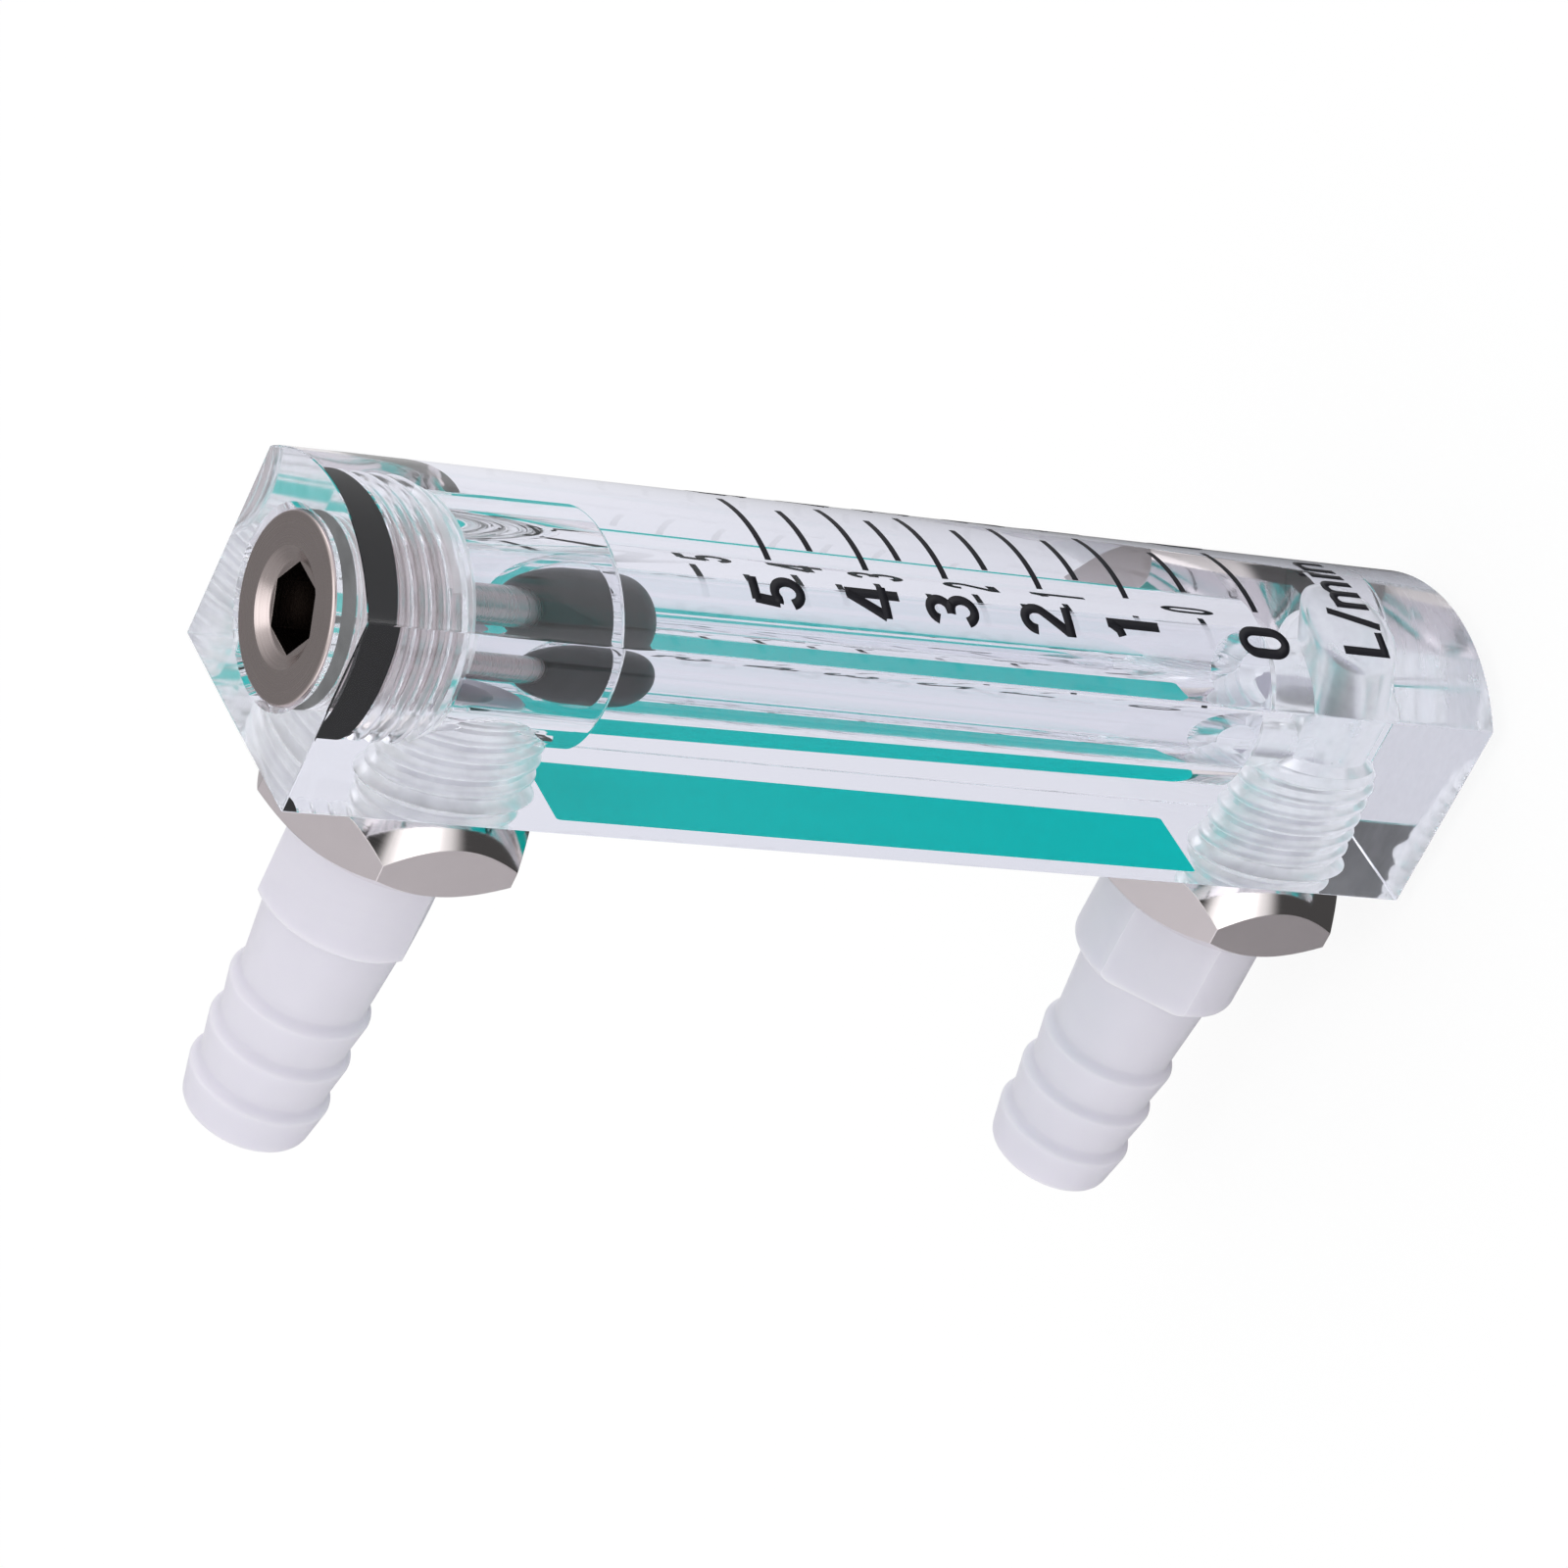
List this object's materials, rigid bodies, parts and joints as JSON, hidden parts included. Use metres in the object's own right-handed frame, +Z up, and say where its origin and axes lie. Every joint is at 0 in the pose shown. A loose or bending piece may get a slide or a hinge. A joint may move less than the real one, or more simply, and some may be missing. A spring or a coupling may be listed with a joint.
{
  "type": "oxygen flowmeter",
  "caption": "Panel-mount float flowmeter: a clear D-section block with a tapered metering bore, a hex-socket plug with a float stop, and hose barbs with nuts at the back.",
  "frame": {"origin": "on the flat back face, midway between the axes of the two ports", "axes": "+Z up the metering bore to the plug, +Y out of the back face along the hose fittings, +X to the right when seen from the curved front"},
  "size_m": [0.0174, 0.0488, 0.0861],
  "materials": {
    "clear_acrylic": "polished",
    "nickel_plated_brass": "satin",
    "black_rubber": "matte",
    "black_float": "satin",
    "white_moulding": "satin",
    "teal_print": "satin",
    "black_ink": "satin"
  },
  "bodies": {
    "housing": {"flow_body": "clear_acrylic", "top_plug": "nickel_plated_brass", "plug_o_ring": "black_rubber", "upper_barb": "white_moulding", "lower_barb": "white_moulding"},
    "float": {"metering_float": "black_float"},
    "upper_nut": {"upper_nut": "nickel_plated_brass"},
    "lower_nut": {"lower_nut": "nickel_plated_brass"}
  },
  "joints": [
    {"name": "float_travel", "type": "slide", "parent": "housing", "child": "float", "axis": [0, 0, 1], "range_m": [-0.04585, 0]},
    {"name": "upper_nut_travel", "type": "slide", "parent": "housing", "child": "upper_nut", "axis": [0, 1, 0], "range_m": [0, 0.0073]},
    {"name": "lower_nut_travel", "type": "slide", "parent": "housing", "child": "lower_nut", "axis": [0, 1, 0], "range_m": [0, 0.0073]}
  ]
}
